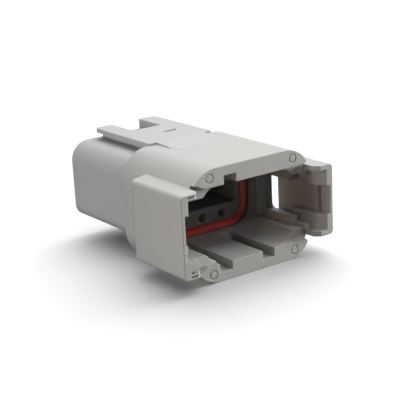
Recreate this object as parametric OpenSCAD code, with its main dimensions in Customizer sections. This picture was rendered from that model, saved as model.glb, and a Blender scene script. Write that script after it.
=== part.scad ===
// Sealed rectangular automotive connector, receptacle half: one moulded housing with two
// side latch loops and a mounting rail, a ring seal round the core and a wire seal behind.
// Millimetres. X is the width, the mouth opens towards -Y, the wires leave towards +Y, Z is up.

/* [Shroud] */
// Width of the shroud over its sides
shroud_w = 24.4; // [23.4:0.1:26]
// Height of the shroud over its top and bottom bands
shroud_h = 18.7; // [18.2:0.1:20]
// Radius of the shroud's outer corners
shroud_r = 5.2; // [4.6:0.1:5.6]
// Length of the shroud from its mouth to the shoulder
shroud_len = 19.2; // [18.6:0.1:22]
// Width of the mating cavity
cavity_w = 19.5; // [19:0.1:20]
// Height of the mating cavity between the bands
cavity_h = 12.7; // [12.4:0.1:13]
// Radius of the cavity's corners at its base
cavity_r = 4.0; // [3.4:0.1:4.4]
// Depth of the mating cavity down to the seat of the ring seal
cavity_depth = 16.0; // [15.6:0.1:16.6]

/* [Side openings] */
// Length over which the side walls are cut away in front
open_len = 3.4; // [2.4:0.1:5]
// Depth of the latch slot in each side wall, from the mouth
slot_depth = 10.0; // [8.5:0.1:11]
// Height of the latch slot in each side wall
slot_h = 6.3; // [5:0.1:7]
// How far the latch slots' middle lies below the shroud's middle
slot_drop = 0.2; // [0:0.05:0.4]
// Radius in the end of the latch slot
slot_r = 0.9; // [0.3:0.1:1.2]
// Width of the bay in front, where the side walls are thinner
bay_w = 21.4; // [20.8:0.1:21.8]
// Height of the bay in each side wall
bay_h = 9.4; // [8:0.1:10]
// Depth of the bay from the mouth to the start of its chamfer
bay_len = 10.0; // [8.5:0.1:11]
// Length of the chamfer behind the bay
bay_ramp = 1.3; // [0.5:0.1:2]
// Rise of the bands' tips on the -X side, which flare to clear a wider catch
tip_rise = 0.7; // [0.3:0.05:0.9]
// Width of the flare of the bands' tips on the -X side
tip_w = 1.5; // [1:0.1:2]
// Height of the chamfer on the bands' tips on the +X side
tip_chamfer = 0.9; // [0.6:0.05:1]
// Gap between each band's tip and the side wall behind it
tip_gap = 1.0; // [0.6:0.1:1.4]

/* [Keyways] */
// Width of each keyway
key_w = 2.45; // [2:0.05:2.8]
// Depth of each keyway into its band
key_depth = 1.42; // [1:0.02:1.6]
// Length of each keyway from the mouth
key_len = 10.3; // [8:0.1:11]
// Length of the ramp that ends each keyway
key_ramp = 1.9; // [1:0.1:2.5]
// Places of the keyways along the bottom band
keys_bottom = [-5.85, 2.8];
// Places of the keyways along the top band
keys_top = [-4.4];

/* [Core] */
// Depth of the core's front face from the mouth
face_depth = 13.9; // [13.4:0.1:14.4]
// Columns of terminal openings
columns = 3; // [2:1:3]
// Distance between neighbouring columns
pitch_x = 4.1; // [3.6:0.1:4.6]
// Distance between the two rows
pitch_z = 7.1; // [6.8:0.1:7.2]
// Diameter of each terminal opening in the core's face
opening_d = 1.5; // [1.2:0.05:1.8]
// Depth of each terminal opening behind the core's face
opening_len = 2.4; // [1.5:0.1:3]
// Diameter of the terminal chamber behind each opening
chamber_d = 2.5; // [2.2:0.05:2.6]
// Height of the lock slot between the rows
lock_h = 3.8; // [3:0.1:4]
// Width of the lock slot
lock_w = 14.4; // [12:0.1:15]
// Depth of the lock slot behind the core's face
lock_depth = 9.0; // [6:0.1:10]

/* [Ring seal] */
// Thickness of the ring seal between the core and the cavity's wall
ring_t = 1.55; // [1.4:0.05:1.7]
// Gap between the ring seal and the cavity's wall
ring_gap = 0.03; // [0.02:0.01:0.1]
// Length of the ring seal's straight part, from its seat
ring_seat = 1.95; // [1.7:0.05:2.2]

/* [Latch loops] */
// Width over the outer faces of both loops
loops_w = 30.5; // [29.8:0.1:33]
// Height of the loop on the -X side
loop_h_left = 13.5; // [12.6:0.1:13.8]
// Height of the loop on the +X side
loop_h_right = 12.1; // [11.6:0.1:13]
// How far each loop reaches ahead of the mouth
loop_lead = 1.94; // [1:0.02:2.4]
// Distance from the mouth to the rear edge of each loop's side plate
loop_rear = 11.5; // [10.5:0.1:13]
// Distance from the mouth to the rear end of each loop's root
loop_root = 12.8; // [12:0.1:15]
// Thickness of each loop's side plate
plate_t = 1.25; // [1.1:0.05:1.5]
// Thickness of each loop's top and bottom flange
flange_t = 0.9; // [0.85:0.05:1.2]
// Thickness of the outer lip above the groove in the -X flanges' front
lip_t = 0.3; // [0.25:0.05:0.35]
// Height of the groove in the -X flanges' front
groove_h = 0.3; // [0.15:0.05:0.3]
// Depth of the groove in the -X flanges' front
groove_depth = 0.8; // [0.4:0.1:1.2]
// Bevel inside the rear edge of each side plate
plate_bevel = 1.0; // [0.5:0.1:1.5]
// Radius of each loop's outer edges
loop_r = 0.7; // [0.3:0.05:0.9]
// Width of each flange's front edge before its chamfered corner
nose_w = 2.64; // [2:0.02:3]
// Chamfer on the inner corner of each flange's front
nose_cut = 0.9; // [0.5:0.05:1.1]
// Height of the window recess in the loop on the -X side
window_h_left = 7.1; // [6.4:0.1:7.4]
// Height of the window recess in the loop on the +X side
window_h_right = 4.9; // [4.2:0.1:5.2]
// Depth of the window's recess into the side plate
window_sink = 0.7; // [0.4:0.05:0.8]
// Length of the window's recess from the loop's front
window_len = 2.2; // [1.5:0.1:6]
// Thickness of each catch rib on the side plate
rib_t = 1.3; // [0.8:0.05:1.4]
// Length of each catch rib
rib_len = 6.5; // [4:0.1:8]
// Height of the two catch ribs on the +X side
rib_h_right = 2.6; // [2:0.1:2.7]
// Length of the slope in front of the catch ribs on the +X side
rib_back = 1.2; // [0.8:0.1:1.6]
// Height of the catch rib on the -X side
rib_h_left = 1.55; // [1.2:0.05:1.8]
// Gap between the catch rib on the -X side and the flange below it
catch_gap = 0.4; // [0.3:0.05:0.6]
// Height of the root pad inside each flange on the +X side
pad_h = 0.9; // [0.6:0.05:1]
// Width of the root pad
pad_w = 2.0; // [1.6:0.1:2.2]

/* [Ejector marks] */
// Diameter of each ejector mark on the bands' front faces
mark_d = 1.55; // [1.2:0.05:1.8]
// Width of the ring that each mark leaves
mark_ring = 0.16; // [0.1:0.02:0.25]
// Depth of the ring that each mark leaves
mark_depth = 0.1; // [0.05:0.01:0.2]
// Distance of each mark from the middle, across the shroud
mark_x = 8.4; // [8:0.1:8.8]
// Distance of each mark from the middle, up or down
mark_z = 7.85; // [7.7:0.05:8]

/* [Rear body] */
// Overall length from the mouth to the wire end
body_end = 36.5; // [35:0.1:42]
// Width of the rear body
body_w = 23.2; // [22.6:0.1:23.4]
// Height of the rear body's top above the shroud's middle
body_top = 7.9; // [7.6:0.05:8.1]
// Depth of the rear body's bottom below the shroud's middle
body_drop = 5.6; // [5.5:0.05:6.5]
// Radius of the rear body's upper edges
body_r_top = 3.4; // [2.8:0.1:4]
// Radius of the rear body's lower edges
body_r_low = 2.1; // [1.6:0.1:2.6]

/* [Mounting rail] */
// Width of the mounting rail's flange
rail_w = 13.0; // [12:0.1:14]
// Thickness of the rail's flange
rail_t = 0.7; // [0.5:0.05:0.9]
// Rise of the rail above the top of the shroud
rail_rise = 0.35; // [0.2:0.05:0.5]
// Length of the ramp on the shroud that leads up to the rail
rail_ramp = 5.0; // [2:0.1:8]
// Width of the neck under the rail's flange
neck_w = 9.8; // [9:0.1:10.6]
// Width of the notch between the rail's two prongs
notch_w = 6.0; // [5:0.1:6.6]
// Length of the notch from the wire end
notch_len = 7.0; // [5:0.1:9]
// Radius of the prongs' outer corners
prong_r = 1.0; // [0.5:0.1:1.6]
// Length of the small catch recess in the rail's top
nick_len = 0.7; // [0.4:0.05:1]
// Width of the small catch recess
nick_w = 2.6; // [1.5:0.1:3]
// Depth of the small catch recess
nick_depth = 0.3; // [0.2:0.05:0.5]

/* [Wire seal] */
// Width of the pocket that holds the wire seal
pocket_w = 19.4; // [18:0.1:19.8]
// Height of the pocket that holds the wire seal
pocket_h = 11.2; // [11:0.1:11.4]
// Height of the pocket's middle above the shroud's middle
pocket_up = 0.7; // [0.65:0.05:0.8]
// Radius of the pocket's corners
pocket_r = 2.2; // [1.6:0.1:2.8]
// Depth of the pocket from the wire end
pocket_depth = 9.0; // [7.5:0.1:10]
// Thickness of the wire seal
seal_t = 5.4; // [4.5:0.1:6.5]
// Gap round the wire seal's body, which only its ribs bridge
seal_gap = 0.2; // [0.15:0.05:0.3]
// Squeeze clearance left between the ribs and the pocket
rib_gap = 0.03; // [0.02:0.01:0.1]
// Width of each rib round the wire seal
seal_rib = 0.8; // [0.6:0.1:1]
// Number of ribs round the wire seal
seal_ribs = 3; // [2:1:3]
// Diameter of each wire hole
wire_d = 1.5; // [1.3:0.05:1.6]
// Diameter of the lead-in at both ends of each wire hole
wire_mouth = 1.9; // [1.7:0.05:2]

/* [Hidden] */
$fn = 96;
eps = 0.01;
grey = [0.62, 0.62, 0.60];
red = [0.60, 0.12, 0.09];
silicone = [0.60, 0.30, 0.16];
length_mid = (body_end - loop_lead) / 2;
column_x = [for (i = [0 : columns - 1]) (i - (columns - 1) / 2) * pitch_x];
row_z = [-pitch_z / 2, pitch_z / 2];
core_w = cavity_w - 2 * (ring_t + 2 * ring_gap);
core_h = cavity_h - 2 * (ring_t + 2 * ring_gap);
core_r = cavity_r - ring_t - 2 * ring_gap;
body_h = body_top + body_drop;
neck_base = body_top - 0.4;
rail_top = shroud_h / 2 + rail_rise;
chamber_start = face_depth + opening_len;
pocket_floor = body_end - pocket_depth;
side_x = shroud_w / 2;
flange_in = side_x - 1.9;
nick_y = (shroud_len + body_end) / 2 - 3.6;

// Carries a drawing of the front view from y0 back to y1
module run(y0, y1) {
    translate([0, y1, 0])
        rotate([90, 0, 0])
            linear_extrude(y1 - y0)
                children();
}

// Rectangle about its middle with four equal round corners
module rounded(w, h, r) {
    square([w - 2 * r, h], center = true);
    square([w, h - 2 * r], center = true);
    for (sx = [-1, 1], sz = [-1, 1])
        translate([sx * (w / 2 - r), sz * (h / 2 - r)])
            circle(r);
}

// Places a child at every terminal position
module at_terminals() {
    for (x = column_x, z = row_z)
        translate([x, 0, z])
            children();
}

// Round bar along Y from y0 to y1
module bar(d, y0, y1) {
    translate([0, y0, 0])
        rotate([-90, 0, 0])
            cylinder(d = d, h = y1 - y0);
}

// Front view of the rear body, with larger radii above than below
module body_outline() {
    w = body_w / 2;
    translate([-w + body_r_top, -body_drop + body_r_low])
        square([body_w - 2 * body_r_top, body_h - body_r_low]);
    translate([-w + body_r_low, -body_drop])
        square([body_w - 2 * body_r_low, body_r_low + eps]);
    translate([-w, -body_drop + body_r_low])
        square([body_w, body_h - body_r_low - body_r_top]);
    for (sx = [-1, 1]) {
        translate([sx * (w - body_r_top), body_top - body_r_top])
            circle(body_r_top);
        translate([sx * (w - body_r_low), -body_drop + body_r_low])
            circle(body_r_low);
    }
}

// Front view of the space between the bands: flared at the -X tips, chamfered at the +X tips
module tip_opening() {
    z0 = cavity_h / 2;
    x0 = cavity_w / 2 - 0.4;
    x1 = x0 + tip_w;
    for (s = [-1, 1])
        polygon([
            [0, 0], [side_x + 1, 0], [side_x + 1, s * (z0 + tip_chamfer)],
            [bay_w / 2 + 0.1 + tip_chamfer, s * (z0 + tip_chamfer)],
            [bay_w / 2 + 0.1, s * z0], [-x0, s * z0],
            [-x1, s * (z0 + tip_rise)], [-side_x, s * (z0 + tip_rise + 0.35)],
            [-side_x - 1, s * (z0 + tip_rise + 0.35)], [-side_x - 1, 0]
        ]);
}

// Ring that an ejector pin leaves on a band's front face
module ejector_mark(sx, sz) {
    translate([sx * mark_x, mark_depth, sz * mark_z])
        rotate([90, 0, 0])
            difference() {
                cylinder(d = mark_d, h = 1);
                translate([0, 0, -1])
                    cylinder(d = mark_d - 2 * mark_ring, h = 3);
            }
}

// One keyway at x in the band on the given side, with the ramp that ends it
module keyway(x, side) {
    z0 = cavity_h / 2;
    translate([x - key_w / 2, 0, 0])
        rotate([90, 0, 90])
            linear_extrude(key_w)
                polygon([
                    [-1, side * (z0 - 1)], [-1, side * (z0 + key_depth)],
                    [key_len, side * (z0 + key_depth)],
                    [key_len + key_ramp, side * z0], [key_len + key_ramp, side * (z0 - 1)]
                ]);
}

// Latch slot through one side wall, open to the front, with round corners at its end
module side_slot(side) {
    translate([side * side_x, 0, -slot_drop])
        rotate([0, 90, 0])
            translate([0, 0, -shroud_w / 4])
                linear_extrude(shroud_w / 2) {
                    translate([-slot_h / 2, 0])
                        square([slot_h, slot_depth - slot_r]);
                    translate([-slot_h / 2 + slot_r, 0])
                        square([slot_h - 2 * slot_r, slot_depth]);
                    for (s = [-1, 1])
                        translate([s * (slot_h / 2 - slot_r), slot_depth - slot_r])
                            circle(slot_r);
                }
}

// Seen from above: a loop's flanges reach back to the shroud in front and behind
module loop_plan() {
    x1 = loops_w / 2;
    x2 = x1 - nose_w;
    polygon([
        [flange_in, tip_gap], [side_x - 0.6, tip_gap],
        [x2 - nose_cut, -loop_lead + nose_cut], [x2, -loop_lead], [x1, -loop_lead],
        [x1, loop_rear], [side_x - 0.5, loop_root], [flange_in, loop_root]
    ]);
}

// Front view of a loop of height h: a channel with round outer edges
module loop_outline(h) {
    x0 = flange_in;
    x1 = loops_w / 2;
    z1 = h / 2;
    difference() {
        union() {
            translate([x0, -z1])
                square([x1 - loop_r - x0, h]);
            translate([x0, -z1 + loop_r])
                square([x1 - x0, h - 2 * loop_r]);
            for (s = [-1, 1])
                translate([x1 - loop_r, s * (z1 - loop_r)])
                    circle(loop_r);
        }
        translate([x0 - 1, -z1 + flange_t])
            square([x1 - plate_t - x0 + 1, h - 2 * flange_t]);
    }
}

// Catch rib on the inner face of a loop's side plate, from z0 to z1, with a slope in front
module catch_rib(z0, z1, slope) {
    x1 = loops_w / 2 - plate_t;
    translate([0, 0, z0])
        linear_extrude(z1 - z0)
            polygon([
                [x1 + eps, -loop_lead], [x1, -loop_lead], [x1 - rib_t, -loop_lead + slope],
                [x1 - rib_t, -loop_lead + rib_back + rib_len],
                [x1 + eps, -loop_lead + rib_back + rib_len]
            ]);
}

// Pads that thicken the roots of both flanges beside the shroud
module root_pads(z) {
    for (s = [0, 1])
        mirror([0, 0, s])
            translate([side_x - 1, 0.4, z - pad_h])
                cube([pad_w, open_len, pad_h + eps]);
}

// Grooves along the fronts of both flanges of a loop of height h
module lip_grooves(h) {
    x1 = loops_w / 2;
    x2 = x1 - nose_w;
    for (s = [0, 1])
        mirror([0, 0, s])
            translate([0, 0, h / 2 - lip_t - groove_h])
                linear_extrude(groove_h)
                    polygon([
                        [flange_in - 1, -loop_lead - 2], [x1 - plate_t, -loop_lead - 2],
                        [x1 - plate_t, -loop_lead + groove_depth],
                        [x2, -loop_lead + groove_depth],
                        [x2 - nose_cut, -loop_lead + nose_cut + groove_depth],
                        [flange_in - 1, -loop_lead + nose_cut + groove_depth]
                    ]);
}

// One latch loop of height h with its window recess, drawn on the +X side
module latch_loop(h, window_h) {
    x1 = loops_w / 2;
    x2 = x1 - plate_t - eps;
    h_in = h - 2 * flange_t;
    difference() {
        intersection() {
            run(-loop_lead, loop_root)
                loop_outline(h);
            translate([0, 0, -h])
                linear_extrude(2 * h)
                    loop_plan();
        }
        translate([x2, -loop_lead - 1, -window_h / 2])
            cube([window_sink + eps, window_len + 1, window_h]);
        translate([0, 0, -h_in / 2])
            linear_extrude(h_in)
                polygon([
                    [x2, loop_rear - plate_bevel], [x1 + eps, loop_rear],
                    [x1 + eps, loop_root + 1], [x2, loop_root + 1]
                ]);
    }
}

// Loop on the -X side: grooved flanges and one catch rib below its window
module left_loop() {
    z0 = -loop_h_left / 2 + flange_t + catch_gap;
    mirror([1, 0, 0]) {
        difference() {
            latch_loop(loop_h_left, window_h_left);
            lip_grooves(loop_h_left);
        }
        catch_rib(z0, z0 + rib_h_left, 0);
    }
}

// Loop on the +X side: a sloped catch rib above and one below its window, and root pads
module right_loop() {
    z1 = loop_h_right / 2 - flange_t;
    latch_loop(loop_h_right, window_h_right);
    catch_rib(-z1 - eps, -z1 + rib_h_right, rib_back);
    catch_rib(z1 - rib_h_right, z1 + eps, rib_back);
    root_pads(z1);
}

// Mounting rail: a neck and a wider flange, flush with the shroud's top, ending in two prongs
module rail() {
    difference() {
        union() {
            translate([-neck_w / 2, shroud_len - 1, neck_base])
                cube([neck_w, body_end - shroud_len + 1, shroud_h / 2 - neck_base - 0.1]);
            translate([0, 0, rail_top - rail_t])
                linear_extrude(rail_t)
                    rail_plan();
            rail_lead();
        }
        translate([-notch_w / 2, body_end - notch_len, body_top])
            cube([notch_w, notch_len + 1, shroud_h]);
        translate([notch_w / 2 - nick_w, nick_y, rail_top - nick_depth])
            cube([nick_w, nick_len, 1]);
    }
}

// Ramp on top of the shroud that rises to the rail
module rail_lead() {
    z0 = shroud_h / 2;
    translate([-neck_w / 2, 0, 0])
        rotate([90, 0, 90])
            linear_extrude(neck_w)
                polygon([
                    [shroud_len - rail_ramp, z0], [shroud_len, rail_top],
                    [shroud_len, z0 - 0.5], [shroud_len - rail_ramp, z0 - 0.5]
                ]);
}

// Seen from above: the rail's flange, with its two rear corners rounded
module rail_plan() {
    w = rail_w / 2;
    translate([-w, shroud_len])
        square([rail_w, body_end - shroud_len - prong_r]);
    translate([-w + prong_r, shroud_len])
        square([rail_w - 2 * prong_r, body_end - shroud_len]);
    for (sx = [-1, 1])
        translate([sx * (w - prong_r), body_end - prong_r])
            circle(prong_r);
}

// Bay between thinner side walls, seen from above, with a chamfer behind it
module bay() {
    w = bay_w / 2;
    c = cavity_w / 2;
    translate([0, 0, -bay_h / 2])
        linear_extrude(bay_h)
            polygon([
                [-w, -1], [w, -1], [w, bay_len], [c, bay_len + bay_ramp],
                [-c, bay_len + bay_ramp], [-w, bay_len]
            ]);
}

// Everything that is hollow in the housing
module hollows() {
    difference() {
        run(-1, cavity_depth)
            rounded(cavity_w, cavity_h, cavity_r);
        run(face_depth, cavity_depth + 1)
            rounded(core_w, core_h, core_r);
    }
    bay();
    run(-1, tip_gap)
        tip_opening();
    run(-1, open_len)
        square([shroud_w + 2, bay_h], center = true);
    for (sx = [-1, 1], sz = [-1, 1])
        ejector_mark(sx, sz);
    for (side = [-1, 1])
        side_slot(side);
    for (x = keys_bottom)
        keyway(x, -1);
    for (x = keys_top)
        keyway(x, 1);
    run(face_depth - 1, face_depth + lock_depth)
        square([lock_w, lock_h], center = true);
    at_terminals() {
        bar(opening_d, face_depth - 1, chamber_start + eps);
        bar(chamber_d, chamber_start, pocket_floor + eps);
    }
    translate([0, 0, pocket_up])
        run(pocket_floor, body_end + 1)
            rounded(pocket_w, pocket_h, pocket_r);
}

// Moulded housing: shroud, core, rear body, mounting rail and both latch loops in one piece
module housing() {
    color(grey)
        translate([0, -length_mid, shroud_h / 2]) {
            difference() {
                union() {
                    run(0, shroud_len)
                        rounded(shroud_w, shroud_h, shroud_r);
                    run(shroud_len - 1, body_end)
                        body_outline();
                    rail();
                }
                hollows();
            }
            left_loop();
            right_loop();
        }
}

// Cross-section of the ring seal: its round bead faces the mouth
module ring_section() {
    r = ring_t / 2;
    translate([-r, 0])
        square([ring_t, ring_seat]);
    translate([0, ring_seat])
        circle(r);
}

// Red ring seal that seats round the core at the base of the cavity
module ring_seal() {
    r_mid = cavity_r - ring_gap - ring_t / 2;
    w_mid = cavity_w / 2 - ring_gap - ring_t / 2;
    h_mid = cavity_h / 2 - ring_gap - ring_t / 2;
    straight_w = 2 * (w_mid - r_mid);
    straight_h = 2 * (h_mid - r_mid);
    color(red)
        translate([0, cavity_depth - length_mid, shroud_h / 2])
            rotate([90, 0, 0]) {
                for (sx = [-1, 1], sz = [-1, 1])
                    scale([sx, sz, 1])
                        translate([w_mid - r_mid, h_mid - r_mid, 0])
                            rotate_extrude(angle = 90)
                                translate([r_mid, 0])
                                    ring_section();
                for (sz = [-1, 1])
                    translate([-straight_w / 2, sz * h_mid, 0])
                        rotate([90, 0, 90])
                            linear_extrude(straight_w)
                                ring_section();
                for (sx = [-1, 1])
                    translate([sx * w_mid, straight_h / 2, 0])
                        rotate([90, 0, 0])
                            linear_extrude(straight_h)
                                ring_section();
            }
}

// Wire seal: a silicone block with ribs round it and one hole for each wire
module wire_seal() {
    rib_space = (seal_t - seal_rib) / (seal_ribs - 1);
    body_cut = 2 * seal_gap;
    rib_cut = 2 * rib_gap;
    color(silicone)
        translate([0, pocket_floor - length_mid, shroud_h / 2])
            difference() {
                translate([0, 0, pocket_up]) {
                    run(0, seal_t)
                        rounded(pocket_w - body_cut, pocket_h - body_cut, pocket_r - seal_gap);
                    for (i = [0 : seal_ribs - 1])
                        run(i * rib_space, i * rib_space + seal_rib)
                            rounded(pocket_w - rib_cut, pocket_h - rib_cut, pocket_r - rib_gap);
                }
                at_terminals() {
                    bar(wire_d, -1, seal_t + 1);
                    bar(wire_mouth, -1, 1);
                    bar(wire_mouth, seal_t - 1, seal_t + 1);
                }
            }
}

housing();
ring_seal();
wire_seal();
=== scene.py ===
import bpy
import math
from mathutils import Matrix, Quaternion, Vector

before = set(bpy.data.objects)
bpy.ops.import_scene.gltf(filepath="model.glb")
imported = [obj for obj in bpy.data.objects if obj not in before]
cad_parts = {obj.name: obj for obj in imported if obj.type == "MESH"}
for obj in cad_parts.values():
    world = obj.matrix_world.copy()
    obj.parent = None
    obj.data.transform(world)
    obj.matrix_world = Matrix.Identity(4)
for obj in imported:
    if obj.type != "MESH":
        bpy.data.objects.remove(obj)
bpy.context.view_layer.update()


# Camera. A long lens in front of the mouth, on the connector's -X side and a little above
# it, with a slight turn about its own axis.
MM = 0.001
CAMERA_AIM = Vector((0.0, -2.28, 8.607)) * MM
CAMERA_DISTANCE = 190.0 * MM
CAMERA_AZIMUTH = math.radians(-35.59)
CAMERA_ELEVATION = math.radians(16.84)
CAMERA_TURN = math.radians(-2.906)
CAMERA_LENS = 100.77
CAMERA_SENSOR = 36.0
CAMERA_SHIFT = (0.0052, 0.00225)
CAMERA_CLIP = (0.005, 10.0)

camera_data = bpy.data.cameras.new("camera")
camera_data.lens = CAMERA_LENS
camera_data.sensor_width = CAMERA_SENSOR
camera_data.shift_x, camera_data.shift_y = CAMERA_SHIFT
camera_data.clip_start, camera_data.clip_end = CAMERA_CLIP
camera = bpy.data.objects.new("camera", camera_data)
bpy.context.scene.collection.objects.link(camera)
back = Vector((
    math.sin(CAMERA_AZIMUTH) * math.cos(CAMERA_ELEVATION),
    -math.cos(CAMERA_AZIMUTH) * math.cos(CAMERA_ELEVATION),
    math.sin(CAMERA_ELEVATION),
))
camera.location = CAMERA_AIM + back * CAMERA_DISTANCE
camera.rotation_mode = "QUATERNION"
camera.rotation_quaternion = (
    (-back).to_track_quat("-Z", "Y") @ Quaternion((0, 0, 1), CAMERA_TURN))
bpy.context.scene.camera = camera
bpy.context.scene.view_settings.view_transform = "Standard"


# Housing. One injection moulding in grey glass-filled plastic with a fine eroded texture
# and edges that the tool leaves slightly round.
HOUSING_GREY = (0.355, 0.356, 0.346, 1.0)
HOUSING_GREY_DARK = (0.328, 0.329, 0.319, 1.0)
HOUSING_EDGE = 0.22 * MM
HOUSING_ROUGHNESS = (0.42, 0.58)
CLOUD_SCALE = 180.0
CLOUD_DETAIL = 4.0
GRAIN_SCALE = 5200.0
GRAIN_DETAIL = 3.0
GRAIN_STRENGTH = 0.12
GRAIN_HEIGHT = 0.03 * MM
BEVEL_SAMPLES = 6


def moulded_plastic(name, light, dark, edge):
    material = bpy.data.materials.new(name)
    material.use_nodes = True
    nodes = material.node_tree.nodes
    links = material.node_tree.links
    shader = nodes["Principled BSDF"]
    place = nodes.new("ShaderNodeTexCoord")

    cloud = nodes.new("ShaderNodeTexNoise")
    cloud.inputs["Scale"].default_value = CLOUD_SCALE
    cloud.inputs["Detail"].default_value = CLOUD_DETAIL
    links.new(place.outputs["Object"], cloud.inputs["Vector"])
    tint = nodes.new("ShaderNodeMix")
    tint.data_type = "RGBA"
    tint.inputs["A"].default_value = dark
    tint.inputs["B"].default_value = light
    links.new(cloud.outputs["Fac"], tint.inputs["Factor"])
    links.new(tint.outputs["Result"], shader.inputs["Base Color"])

    grain = nodes.new("ShaderNodeTexNoise")
    grain.inputs["Scale"].default_value = GRAIN_SCALE
    grain.inputs["Detail"].default_value = GRAIN_DETAIL
    links.new(place.outputs["Object"], grain.inputs["Vector"])
    rough = nodes.new("ShaderNodeMapRange")
    rough.inputs["To Min"].default_value = HOUSING_ROUGHNESS[0]
    rough.inputs["To Max"].default_value = HOUSING_ROUGHNESS[1]
    links.new(cloud.outputs["Fac"], rough.inputs["Value"])
    links.new(rough.outputs["Result"], shader.inputs["Roughness"])

    rounded = nodes.new("ShaderNodeBevel")
    rounded.samples = BEVEL_SAMPLES
    rounded.inputs["Radius"].default_value = edge
    bump = nodes.new("ShaderNodeBump")
    bump.inputs["Strength"].default_value = GRAIN_STRENGTH
    bump.inputs["Distance"].default_value = GRAIN_HEIGHT
    links.new(grain.outputs["Fac"], bump.inputs["Height"])
    links.new(rounded.outputs["Normal"], bump.inputs["Normal"])
    links.new(bump.outputs["Normal"], shader.inputs["Normal"])
    return material


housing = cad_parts["housing"]
housing.data.materials.clear()
housing.data.materials.append(
    moulded_plastic("housing_grey", HOUSING_GREY, HOUSING_GREY_DARK, HOUSING_EDGE))


# Seals. The ring seal in the mating cavity and the wire seal at the wire end are moulded
# silicone, smooth and slightly oily, set in their seats.
RING_RED = (0.80, 0.095, 0.075, 1.0)
RING_RED_DARK = (0.70, 0.075, 0.060, 1.0)
WIRE_SEAL_ORANGE = (0.42, 0.085, 0.03, 1.0)
WIRE_SEAL_ORANGE_DARK = (0.34, 0.062, 0.02, 1.0)
SEAL_EDGE = 0.12 * MM
SEAL_ROUGHNESS = (0.24, 0.36)
SEAL_CLOUD_SCALE = 420.0
OIL_WEIGHT = 0.6
OIL_ROUGHNESS = 0.16


def silicone(name, light, dark):
    material = bpy.data.materials.new(name)
    material.use_nodes = True
    nodes = material.node_tree.nodes
    links = material.node_tree.links
    shader = nodes["Principled BSDF"]
    shader.inputs["Coat Weight"].default_value = OIL_WEIGHT
    shader.inputs["Coat Roughness"].default_value = OIL_ROUGHNESS
    place = nodes.new("ShaderNodeTexCoord")
    cloud = nodes.new("ShaderNodeTexNoise")
    cloud.inputs["Scale"].default_value = SEAL_CLOUD_SCALE
    links.new(place.outputs["Object"], cloud.inputs["Vector"])
    tint = nodes.new("ShaderNodeMix")
    tint.data_type = "RGBA"
    tint.inputs["A"].default_value = dark
    tint.inputs["B"].default_value = light
    links.new(cloud.outputs["Fac"], tint.inputs["Factor"])
    links.new(tint.outputs["Result"], shader.inputs["Base Color"])
    rough = nodes.new("ShaderNodeMapRange")
    rough.inputs["To Min"].default_value = SEAL_ROUGHNESS[0]
    rough.inputs["To Max"].default_value = SEAL_ROUGHNESS[1]
    links.new(cloud.outputs["Fac"], rough.inputs["Value"])
    links.new(rough.outputs["Result"], shader.inputs["Roughness"])
    rounded = nodes.new("ShaderNodeBevel")
    rounded.samples = BEVEL_SAMPLES
    rounded.inputs["Radius"].default_value = SEAL_EDGE
    links.new(rounded.outputs["Normal"], shader.inputs["Normal"])
    return material


for node_name, light, dark in (
    ("ring_seal", RING_RED, RING_RED_DARK),
    ("wire_seal", WIRE_SEAL_ORANGE, WIRE_SEAL_ORANGE_DARK),
):
    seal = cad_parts[node_name]
    seal.data.materials.clear()
    seal.data.materials.append(silicone(node_name + "_silicone", light, dark))


# Floor and light. Two broad suns from behind and above light everything and throw the
# shadow. The four fill suns and the warm spot light only the connector. Floor and room are
# white to the camera and dark to all other rays, so that the cavity stays in shade.
WHITE = (1.0, 1.0, 1.0)
FLOOR_SIZE = 3.0
FLOOR_DARK = 0.10
FLOOR_GLOW = 0.06
FLOOR_ROUGHNESS = 0.9
FLOOR_SPECULAR = 0.1
ROOM_DARK = 0.02
ROOM_WHITE = 1.0
floor_mesh = bpy.data.meshes.new("floor")
floor_mesh.from_pydata(
    [(-FLOOR_SIZE, -FLOOR_SIZE, 0), (FLOOR_SIZE, -FLOOR_SIZE, 0),
     (FLOOR_SIZE, FLOOR_SIZE, 0), (-FLOOR_SIZE, FLOOR_SIZE, 0)], [], [(0, 1, 2, 3)])
floor = bpy.data.objects.new("floor", floor_mesh)
bpy.context.scene.collection.objects.link(floor)
floor_material = bpy.data.materials.new("floor_white")
floor_material.use_nodes = True
floor_nodes = floor_material.node_tree.nodes
floor_links = floor_material.node_tree.links
floor_shader = floor_nodes["Principled BSDF"]
floor_shader.inputs["Roughness"].default_value = FLOOR_ROUGHNESS
floor_shader.inputs["Specular IOR Level"].default_value = FLOOR_SPECULAR
floor_ray = floor_nodes.new("ShaderNodeLightPath")
floor_white = floor_nodes.new("ShaderNodeMix")
floor_white.data_type = "RGBA"
floor_white.inputs["A"].default_value = (FLOOR_DARK, FLOOR_DARK, FLOOR_DARK, 1.0)
floor_white.inputs["B"].default_value = (*WHITE, 1.0)
floor_links.new(floor_ray.outputs["Is Camera Ray"], floor_white.inputs["Factor"])
floor_links.new(floor_white.outputs["Result"], floor_shader.inputs["Base Color"])
floor_shader.inputs["Emission Color"].default_value = (*WHITE, 1.0)
floor_lift = floor_nodes.new("ShaderNodeMath")
floor_lift.operation = "MULTIPLY"
floor_lift.inputs[1].default_value = FLOOR_GLOW
floor_links.new(floor_ray.outputs["Is Camera Ray"], floor_lift.inputs[0])
floor_links.new(floor_lift.outputs["Value"], floor_shader.inputs["Emission Strength"])
floor.data.materials.append(floor_material)

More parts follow.
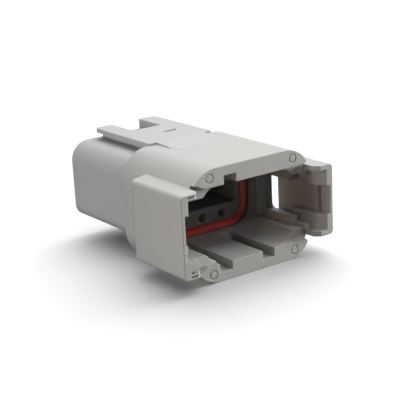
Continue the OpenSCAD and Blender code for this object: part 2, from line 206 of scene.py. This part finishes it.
world = bpy.data.worlds.new("room")
bpy.context.scene.world = world
world.use_nodes = True
world_nodes = world.node_tree.nodes
world_links = world.node_tree.links
world_fill = world_nodes["Background"]
world_fill.inputs["Color"].default_value = (*WHITE, 1.0)
world_ray = world_nodes.new("ShaderNodeLightPath")
world_level = world_nodes.new("ShaderNodeMapRange")
world_level.inputs["To Min"].default_value = ROOM_DARK
world_level.inputs["To Max"].default_value = ROOM_WHITE
world_links.new(world_ray.outputs["Is Camera Ray"], world_level.inputs["Value"])
world_links.new(world_level.outputs["Result"], world_fill.inputs["Strength"])

connector_only = bpy.data.collections.new("connector_only")
for cad_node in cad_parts.values():
    connector_only.objects.link(cad_node)


def soft_sun(name, azimuth, elevation, spread, strength, colour, fill=True):
    data = bpy.data.lights.new(name, "SUN")
    data.angle = math.radians(spread)
    data.energy = strength
    data.color = colour
    light = bpy.data.objects.new(name, data)
    turn, rise = math.radians(azimuth), math.radians(elevation)
    source = Vector((
        math.sin(turn) * math.cos(rise), -math.cos(turn) * math.cos(rise), math.sin(rise)))
    light.rotation_euler = source.to_track_quat("Z", "Y").to_euler()
    if fill:
        light.light_linking.receiver_collection = connector_only
    bpy.context.scene.collection.objects.link(light)


soft_sun("key_behind", 122.0, 49.0, 74.0, 2.6, WHITE, fill=False)
soft_sun("overhead", 150.0, 76.0, 104.0, 1.3, WHITE, fill=False)
soft_sun("left_side", -94.0, 10.0, 24.0, 2.35, WHITE)
soft_sun("right_side", 68.0, 7.0, 20.0, 4.7, (1.0, 1.0, 0.98))
soft_sun("front_high", 46.0, 55.0, 14.0, 0.62, WHITE)
soft_sun("front_low", 14.0, 39.5, 6.0, 0.36, WHITE)

CARD_PLACE = Vector((-258.0, -134.0, 50.0)) * MM
CARD_AIM = Vector((14.0, -14.5, 9.3)) * MM
CARD_COLOUR = (1.0, 0.62, 0.40)
CARD_POWER = 4.0
CARD_CONE = math.radians(3.3)
CARD_SOFTNESS = 0.02
card = bpy.data.lights.new("warm_card", "SPOT")
card.energy = CARD_POWER
card.color = CARD_COLOUR
card.spot_size = CARD_CONE
card.spot_blend = 1.0
card.shadow_soft_size = CARD_SOFTNESS
card_light = bpy.data.objects.new("warm_card", card)
card_light.location = CARD_PLACE
card_light.rotation_euler = (CARD_AIM - CARD_PLACE).to_track_quat("-Z", "Y").to_euler()
card_light.light_linking.receiver_collection = connector_only
bpy.context.scene.collection.objects.link(card_light)
